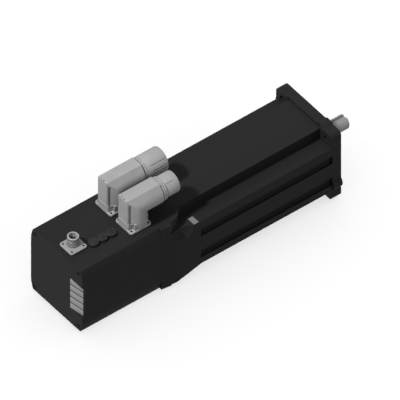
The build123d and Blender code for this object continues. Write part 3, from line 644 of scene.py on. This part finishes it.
def makeRoundSocket():
    barrel = turnedFrom(socket["barrel"])
    bevelEdges(barrel, socket["barrelRound"], segments=2, angle=40)
    finishPiece(barrel, "socketBarrel", "frame", "connector_metal",
                makeFinish("socketTurned", socketBarrelLook))
    rim = turnedFrom(socket["rim"])
    finishPiece(rim, "socketRim", "frame", "connector_metal")
    foot = addSlab(socket["footX"], socket["footY"], socket["footHalf"], socket["low"], socket["high"],
                   socket["footCorner"], socket["footRound"])
    spots = cornerSpots(socket["footX"], socket["footY"], socket["screwOut"])
    seat = socket["high"] - socket["screwDeep"]
    for x, y in spots:
        cutAway(foot, addDrum(x, y, seat, socket["high"] + cutPast, socket["screwRadius"],
                              socket["screwSides"]))
    makeFootScrews("socketFootScrews", spots, seat, socket["screwRadius"], "round_socket_screws")
    finishPiece(foot, "socketFoot", "frame", "connector_metal",
                makeFinish("socketPlate", socketFootLook))
    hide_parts("round_socket_body")
    return [barrel, rim, foot]


roundSocket = makeRoundSocket()
print("round socket:", [len(piece.data.polygons) for piece in roundSocket])


# five light bars in the slanted window, shorter than their pockets as in the photograph
# the window's outer face runs from rearEdge to sideEdge, as x and y pairs
lightBars = dict(count=5, low=-21.9, high=20.4, gap=1.3, thick=0.8, long=17.8, startIn=0.8, proud=0.05,
                 rearEdge=(-323.9, -20.9), sideEdge=(-320.7, -41.5), rim=0.5, crown=0.1, edgeRound=0.12)


def makeLightBars():
    startPoint = Vector(lightBars["rearEdge"])
    along = (Vector(lightBars["sideEdge"]) - startPoint).normalized()
    outward = Vector((along.y, -along.x))
    pitch = (lightBars["high"] - lightBars["low"]) / lightBars["count"]
    middle = startPoint + along * (lightBars["startIn"] + lightBars["long"] / 2)
    middle = middle + outward * (lightBars["proud"] - lightBars["thick"] / 2)
    first = addBlock((0, 0, 0), (lightBars["long"], lightBars["thick"], pitch - lightBars["gap"]))
    pickFaces(first, lambda face: face.normal.y > facing)
    bpy.ops.mesh.inset(thickness=lightBars["rim"] * mm)
    crown = lightBars["crown"] * mm
    bpy.ops.mesh.extrude_region_move(TRANSFORM_OT_translate={"value": (0, crown, 0)})
    bpy.ops.object.mode_set(mode="OBJECT")
    bevelEdges(first, lightBars["edgeRound"], segments=2, angle=40)
    turn = Matrix.Rotation(math.atan2(along.y, along.x) + math.pi, 4, "Z")
    made = []
    for index in range(lightBars["count"]):
        deselectAll()
        bar = first.copy()
        bar.data = first.data.copy()
        bpy.context.scene.collection.objects.link(bar)
        height = lightBars["low"] + pitch * (index + 0.5)
        bar.data.transform(Matrix.Translation((middle.x * mm, middle.y * mm, height * mm)) @ turn)
        made.append(finishPiece(bar, "lightBar%d" % (index + 1), "frame", "light_bar"))
    bpy.data.objects.remove(first, do_unlink=True)
    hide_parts("status_bars")
    return made


barPieces = makeLightBars()
print("light bars:", len(barPieces))


# pale floor just under the lowest point, wide enough for every view
floorLook = dict(wide=60, below=0.0002, shade=0.93, roughness=0.95, specular=0.1)
deselectAll()
bpy.ops.mesh.primitive_plane_add(size=floorLook["wide"],
                                 location=(0, 0, cadBounds[0][2] - floorLook["below"]))
floor = bpy.context.object
floor.name = "floor"
floorMaterial = bpy.data.materials.new("paleFloor")
floorMaterial.use_nodes = True
floorShader = floorMaterial.node_tree.nodes["Principled BSDF"]
floorShader.inputs["Base Color"].default_value = grey(floorLook["shade"])
floorShader.inputs["Roughness"].default_value = floorLook["roughness"]
floorShader.inputs["Specular IOR Level"].default_value = floorLook["specular"]
floor.data.materials.append(floorMaterial)
floor.visible_diffuse = False
floor.visible_glossy = False

# soft room light that is a little dimmer from below, and two suns that shine the same way:
# one leaves the floor out, the other lights the floor alone
lighting = dict(roomAbove=0.40, roomBelow=0.38, roomFrom=-0.15, roomTo=0.25, sun=2.7, floorSun=2.75,
                sunAngle=6.0, sunTravel=(0.56, -0.05, -0.80))
world = bpy.data.worlds.new("room")
bpy.context.scene.world = world
world.use_nodes = True
roomTree = world.node_tree
roomPlace = roomTree.nodes.new("ShaderNodeTexCoord")
roomParts = roomTree.nodes.new("ShaderNodeSeparateXYZ")
roomTree.links.new(roomPlace.outputs["Generated"], roomParts.inputs[0])
roomRise = roomTree.nodes.new("ShaderNodeMapRange")
roomRise.inputs["From Min"].default_value = lighting["roomFrom"]
roomRise.inputs["From Max"].default_value = lighting["roomTo"]
roomRise.inputs["To Min"].default_value = lighting["roomBelow"]
roomRise.inputs["To Max"].default_value = lighting["roomAbove"]
roomTree.links.new(roomParts.outputs["Z"], roomRise.inputs["Value"])
roomTree.nodes["Background"].inputs["Color"].default_value = grey(1)
roomTree.links.new(roomRise.outputs["Result"], roomTree.nodes["Background"].inputs["Strength"])


def addSun(name, strength, floorState):
    data = bpy.data.lights.new(name, "SUN")
    data.energy = strength
    data.angle = math.radians(lighting["sunAngle"])
    lamp = bpy.data.objects.new(name, data)
    lamp.rotation_euler = Vector(lighting["sunTravel"]).to_track_quat("-Z", "Y").to_euler()
    bpy.context.scene.collection.objects.link(lamp)
    lit = bpy.data.collections.new(name + "Reach")
    lit.objects.link(floor)
    lit.collection_objects[0].light_linking.link_state = floorState
    lamp.light_linking.receiver_collection = lit
    return lamp, lit


addSun("mainSun", lighting["sun"], "EXCLUDE")
floorSun, floorOnly = addSun("floorSun", lighting["floorSun"], "INCLUDE")
floorSun.light_linking.blocker_collection = floorOnly
bpy.context.scene.view_settings.view_transform = "Standard"

# the photograph's view, without perspective: turned down and aside in degrees, the rest in metres
framing = dict(down=45.0, aside=38.0, width=0.3975, shiftRight=-0.11277, shiftUp=-0.0612, distance=1.6,
               clipEnd=50)
down, aside = math.radians(framing["down"]), math.radians(framing["aside"])
viewRight = Vector((math.cos(aside), -math.sin(aside), 0.0))
viewUp = Vector((math.sin(aside) * math.sin(down), math.cos(aside) * math.sin(down), math.cos(down)))
viewBack = viewRight.cross(viewUp)
cameraData = bpy.data.cameras.new("camera")
cameraData.type = "ORTHO"
cameraData.ortho_scale = framing["width"]
cameraData.clip_end = framing["clipEnd"]
camera = bpy.data.objects.new("camera", cameraData)
bpy.context.scene.collection.objects.link(camera)
target = viewRight * framing["shiftRight"] + viewUp * framing["shiftUp"]
cameraTurn = Matrix((viewRight, viewUp, viewBack)).transposed().to_4x4()
camera.matrix_world = Matrix.Translation(target + viewBack * framing["distance"]) @ cameraTurn
bpy.context.scene.camera = camera
print("floor, lights and camera set")
